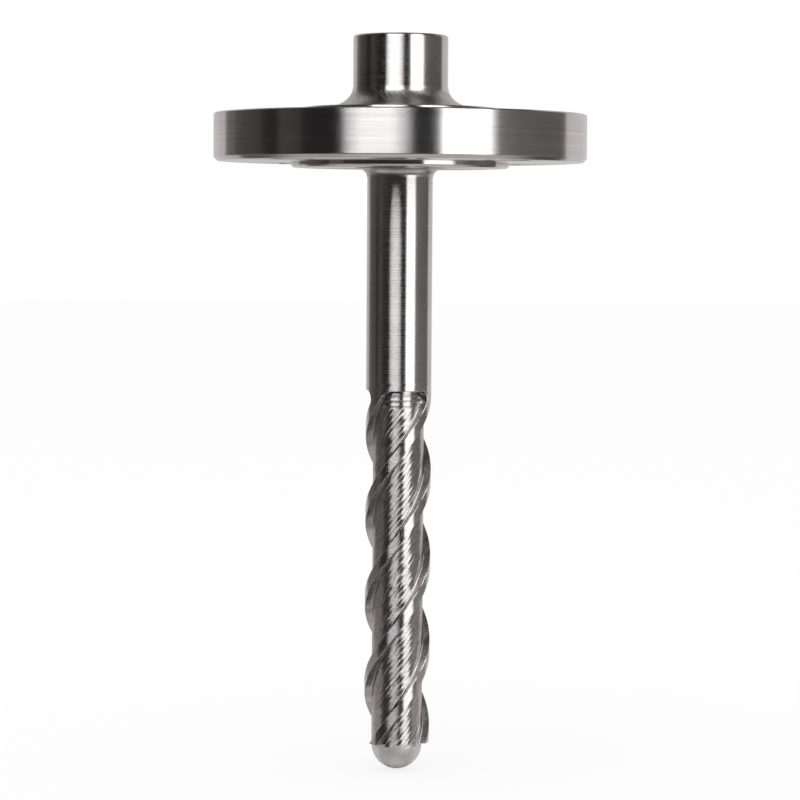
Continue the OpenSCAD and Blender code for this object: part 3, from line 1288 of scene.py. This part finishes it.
@dataclass(frozen=True)
class Card:
    """A card or a light panel round the object: one slice of a ball from its foot to its top.

    Turns are in degrees from the camera's side, positive to the camera's right, and rises are in
    degrees above the level.  Each station of a rule gives a turn or a rise and the value there.
    A dark ceiling fills the top of every card.
    """

    name: str
    across: Rule
    upward: Rule = ((0, 1.0),)
    foot: Rule = ((0, -30),)
    top: float = 60.0
    tint: tuple[float, float, float] = (1.0, 0.965, 0.96)
    ground: Rule = ((-90, 1.0), (-74, 0.65), (-60, 0.3), (-48, 0.08), (-20, 0.02), (-4, 0.005), (0, 0.0))
    ceiling: Rule = ((56, 0.0), (64, 0.03))
    softness: float = 2.0
    distance: float = 1.6

    def build(self) -> bpy.types.Object:
        """Build the card, whose vertices carry its brightness."""
        first, last = self.across[0][0], self.across[-1][0]
        turns = np.linspace(first, last, max(3, int(last - first)))
        rises = np.linspace(-90, 90, 181)
        a, e = np.meshgrid(np.radians(turns), np.radians(rises))
        points = self.distance * np.stack(
            [np.sin(a) * np.cos(e), -np.cos(a) * np.cos(e), np.sin(e)], axis=-1)
        n = len(turns)
        corner = (np.arange(len(rises) - 1)[:, None] * n + np.arange(n - 1)[None, :]).ravel()
        faces = np.stack([corner, corner + 1, corner + n + 1, corner + n], axis=-1)
        mesh = bpy.data.meshes.new(self.name)
        mesh.from_pydata(points.reshape(-1, 3), [], faces)
        foot = np.interp(turns, *zip(*self.foot))[None, :]
        lit = np.clip((rises[:, None] - foot) / self.softness + 0.5, 0, 1)
        lit *= np.clip((self.top - rises[:, None]) / self.softness + 0.5, 0, 1)
        level = lit * np.outer(np.interp(rises, *zip(*self.upward)),
                               np.interp(turns, *zip(*self.across)))
        level += np.interp(rises, *zip(*self.ceiling))[:, None]
        level += np.interp(rises, *zip(*self.ground))[:, None]
        return glow(place(self.name, mesh), level, self.tint)


@dataclass(frozen=True)
class Sheet:
    """White sheet under the object, open in front, as the glossy parts near it see it."""

    height: float
    radius: float = 240.0 * MM
    plain_radius: float = 150.0 * MM
    level: float = 0.8
    opening: tuple[float, float] = (72.0, 286.0)
    tint: tuple[float, float, float] = (1.0, 0.96, 0.95)

    def build(self) -> bpy.types.Object:
        """Build the sheet, whose vertices carry its brightness."""
        radii = np.linspace(0.002, 1.0, 25) * self.radius
        turns = np.radians(np.linspace(*self.opening, 90))
        r, a = np.meshgrid(radii, turns, indexing="ij")
        points = np.stack([r * np.sin(a), -r * np.cos(a), np.full_like(r, self.height)], axis=-1)
        n = len(turns)
        corner = (np.arange(len(radii) - 1)[:, None] * n + np.arange(n - 1)[None, :]).ravel()
        faces = np.stack([corner, corner + 1, corner + n + 1, corner + n], axis=-1)
        mesh = bpy.data.meshes.new("sheet")
        mesh.from_pydata(points.reshape(-1, 3), [], faces)
        level = self.level * np.clip((self.radius - r) / (self.radius - self.plain_radius), 0, 1)
        return glow(place("sheet", mesh), level, self.tint)


@dataclass
class Studio:
    """Pale floor, soft panels, dark cards between them, a white world and the camera."""

    floor_height: float
    camera_at: tuple[float, float, float] = (0.00047, -0.956, -0.0195)
    camera_pitch: float = -3.5
    camera_roll: float = 0.37
    lens: float = 127.85
    cards: tuple[Card, ...] = (
        Card("wall_behind_left", ((-180, 0.66), (-133, 0.66)), foot=((-180, -44), (-150, -30))),
        Card("flags_left", ((-133, 0.16), (-120, 0.15), (-119, 0.08), (-92, 0.04)), ground=SIDE_GROUND),
        Card("flags_front", ((-92, 0.02), (-79, 0.02), (-78, 0.08), (-62, 0.05), (-61, 0.02), (-35.8, 0.01))),
        Card("panel_left", ((-35.8, 1.35), (-29, 1.25), (-26, 1.0), (2.5, 1.0), (5.8, 0.75), (8.4, 0.01)),
             upward=((8, 8.5), (10, 8.2), (13, 5.4), (18, 3.6), (54, 3.6)),
             foot=((-35.8, 17), (-33, 15), (-29, 12), (-24, 8), (-5, 8), (-3, 9), (0, 11), (5, 15)),
             top=44.0, tint=(0.97, 0.985, 1.0)),
        Card("flag_between", ((8.4, 0.01), (19, 0.01), (23, 0.1), (24.5, 1.0), (26.5, 3.2)),
             tint=(0.98, 0.985, 1.0)),
        Card("panel_right", ((26.5, 3.2), (28, 3.4), (54, 3.4), (57, 1.6), (61, 0.3), (69, 0.2)),
             foot=((28, -18),), top=44.0, tint=(1.0, 1.0, 1.0)),
        Card("flag_right", ((69, 0.2), (78, 0.15), (120, 0.12)), ground=SIDE_GROUND),
        Card("wall_behind_right", ((120, 0.76), (180, 0.7)), foot=((120, -14), (150, -30), (180, -44)), top=44.0),
    )

    def _floor(self) -> bpy.types.Object:
        """Build the pale floor, which keeps a faint shadow."""
        work = bmesh.new()
        bmesh.ops.create_circle(work, cap_ends=True, radius=6.0, segments=96)
        bmesh.ops.translate(work, verts=work.verts, vec=(0, 0, self.floor_height))
        mesh = bpy.data.meshes.new("floor")
        work.to_mesh(mesh)
        work.free()
        obj = place("floor", mesh)
        dress = Dressing("pale_floor").constant(Roughness=0.9, Specular_IOR_Level=0.0)
        x, y, _ = dress.axes()
        grain = dress.noise((x * 40.0, y * 40.0, x * 0.0), detail=2.0)
        dress.colour(grain, (0.9, 0.9, 0.9), (0.92, 0.92, 0.92))
        tree = dress.tree
        path = tree.nodes.new("ShaderNodeLightPath")
        seen = Field(tree, path.outputs["Is Camera Ray"])
        for ray in ("Is Glossy Ray", "Is Transmission Ray"):
            seen = seen.math("MAXIMUM", Field(tree, path.outputs[ray]))
        white = tree.nodes.new("ShaderNodeEmission")
        mix = tree.nodes.new("ShaderNodeMixShader")
        tree.links.new((seen * 0.8).socket, mix.inputs["Fac"])
        tree.links.new(dress.shader.outputs[0], mix.inputs[1])
        tree.links.new(white.outputs[0], mix.inputs[2])
        tree.links.new(mix.outputs[0], tree.nodes["Material Output"].inputs["Surface"])
        mesh.materials.append(dress.material)
        obj.visible_glossy = False
        return obj

    def _world(self) -> None:
        """Make the plain white world."""
        world = bpy.data.worlds.new("studio")
        bpy.context.scene.world = world
        world.use_nodes = True
        background = world.node_tree.nodes["Background"]
        background.inputs["Color"].default_value = (1.0, 1.0, 1.0, 1.0)
        background.inputs["Strength"].default_value = 1.0

    def _camera(self) -> None:
        """Set the camera at the picture's angle."""
        data = bpy.data.cameras.new("camera")
        data.lens, data.sensor_width = self.lens, 36.0
        data.clip_start, data.clip_end = 0.01, 50.0
        camera = bpy.data.objects.new("camera", data)
        bpy.context.scene.collection.objects.link(camera)
        camera.location = self.camera_at
        aim = Euler((math.radians(90 + self.camera_pitch), 0, 0)).to_matrix()
        camera.rotation_euler = (aim @ Matrix.Rotation(math.radians(self.camera_roll), 3, "Z")).to_euler()
        bpy.context.scene.camera = camera

    def build(self) -> None:
        """Build the studio."""
        self._world()
        sheet = Sheet(self.floor_height + 0.05 * MM)
        self._floor()
        sheet.build()
        [card.build() for card in self.cards]
        lamp = bpy.data.lights.new("overhead", "AREA")
        lamp.shape, lamp.size, lamp.size_y = "RECTANGLE", 0.8, 0.8
        lamp.energy = 2.0
        obj = bpy.data.objects.new("overhead", lamp)
        obj.location = (-0.3, -0.3, 1.3)
        obj.rotation_euler = (Vector((0.3, 0.3, -1.3)).to_track_quat("-Z", "Y")).to_euler()
        obj.visible_glossy = False
        bpy.context.scene.collection.objects.link(obj)
        self._camera()
        view = bpy.context.scene.view_settings
        view.view_transform = "Standard"


# ---------------------------------------------------------------------------------------------


def stand_for(obj: bpy.types.Object, node: str) -> None:
    """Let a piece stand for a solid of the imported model.

    Args:
        obj: The piece.
        node: The solid's name.
    """
    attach(obj, BODY)
    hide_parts(node)
    log.info("%s: %d faces, for %s", obj.name, len(obj.data.polygons), node)


def main() -> None:
    """Build the thermowell's pieces and its studio in order."""
    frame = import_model()
    log.info("frame with nodes %s", sorted(frame["nodes"]))
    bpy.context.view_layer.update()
    stem_low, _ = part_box("well_stem")

    turned_steel = TurnedSteel("turned_stem", roughness=0.27).material()
    sizes = StemSizes()
    bar = TurnedBar(sizes, turned_steel).build()
    strakes = StrakedEnd(sizes, turned_steel, MilledSteel("milled_grooves").material(),
                         # Groove walls: lower roughness and anisotropy are their finish, and the darker colours
                         # are painted shade for the recessed walls.
                         MilledSteel("milled_walls_painted_shade", roughness=0.22, anisotropy=0.3, dark=(0.3, 0.275, 0.27),
                                     light=(0.5, 0.475, 0.465)).material(),
                         SatinSteel("satin_tip").material()).build()
    flange = PipeFlange(TurnedSteel("turned_flange", ring=0.2 * MM).material(),
                        TurnedSteel("finished_face", roughness=0.1).material()).build()
    upper_steel = BrushedWeld("dressed_weld_above", 15.9 * MM, 16.7 * MM, strokes=120.0).material()
    lower_steel = BrushedWeld("dressed_weld_below", 11.2 * MM, 15.0 * MM, roughness=0.36,
                              anisotropy=0.2, stroke_depth=0.01 * MM).material()
    upper = DressedWeld("weld_above", upper_steel, wall=15.875 * MM, width=10.0 * MM,
                        height=6.8 * MM, seat=20.0 * MM, up=True).build()
    lower = DressedWeld("weld_below", lower_steel, wall=11.0 * MM, width=4.0 * MM, height=3.0 * MM,
                        seat=0.0, up=False,
                        root=((11.1 * MM, -3.0 * MM), (11.0 * MM, -3.0 * MM))).build()
    for obj, node, slot in ((bar, "well_stem", Slot.STEM), (strakes, "well_stem", Slot.STEM),
                            (flange, "flange", Slot.FLANGE), (upper, "upper_weld", Slot.WELD),
                            (lower, "lower_weld", Slot.WELD)):
        stand_for(obj, node)

    Studio(floor_height=stem_low.z - 0.0002).build()


if __name__ == "__main__":
    main()
